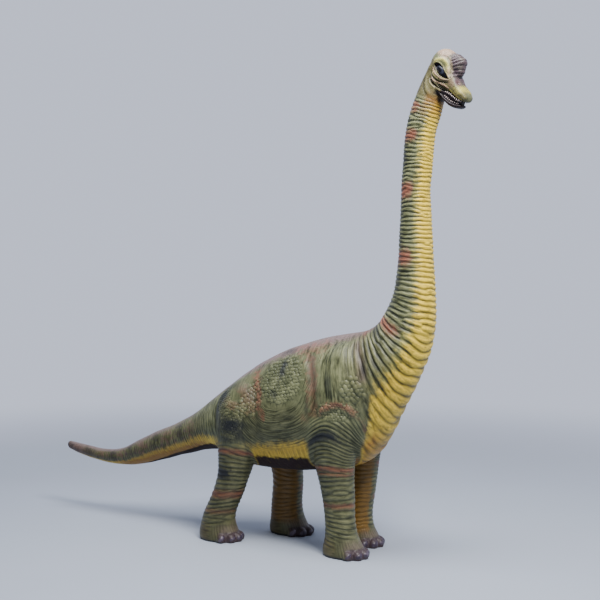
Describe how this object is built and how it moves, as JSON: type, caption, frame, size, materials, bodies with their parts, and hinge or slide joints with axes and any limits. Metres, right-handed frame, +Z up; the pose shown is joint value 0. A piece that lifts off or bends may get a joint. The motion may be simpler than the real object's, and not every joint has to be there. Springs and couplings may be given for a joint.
{
  "type": "dinosaur statue",
  "caption": "Painted, moulded statue of a long-necked sauropod dinosaur standing in mid-step, head turned and lowered, tail held out behind.",
  "frame": {"origin": "on the floor under the middle of the statue's bounding box", "axes": "+X towards the head, +Y to the animal's left, +Z up"},
  "size_m": [2.0698, 0.4114, 1.9973],
  "materials": {
    "painted_skin": "satin acrylic paint over glass-fibre resin",
    "mouth": "dark gloss paint over resin",
    "eye": "gloss black",
    "teeth": "off-white gloss paint",
    "toe_nails": "satin mauve paint"
  },
  "bodies": {
    "root": {"head": "painted_skin", "lower_jaw": "mouth", "eye_right": "eye", "eye_left": "eye", "neck_upper": "painted_skin", "neck_lower": "painted_skin", "torso": "painted_skin", "tail_base": "painted_skin", "tail_end": "painted_skin", "leg_front_right": "painted_skin", "leg_front_left": "painted_skin", "leg_hind_right": "painted_skin", "leg_hind_left": "painted_skin", "foot_front_right": "painted_skin", "foot_front_left": "painted_skin", "foot_hind_right": "painted_skin", "foot_hind_left": "painted_skin"}
  },
  "joints": []
}
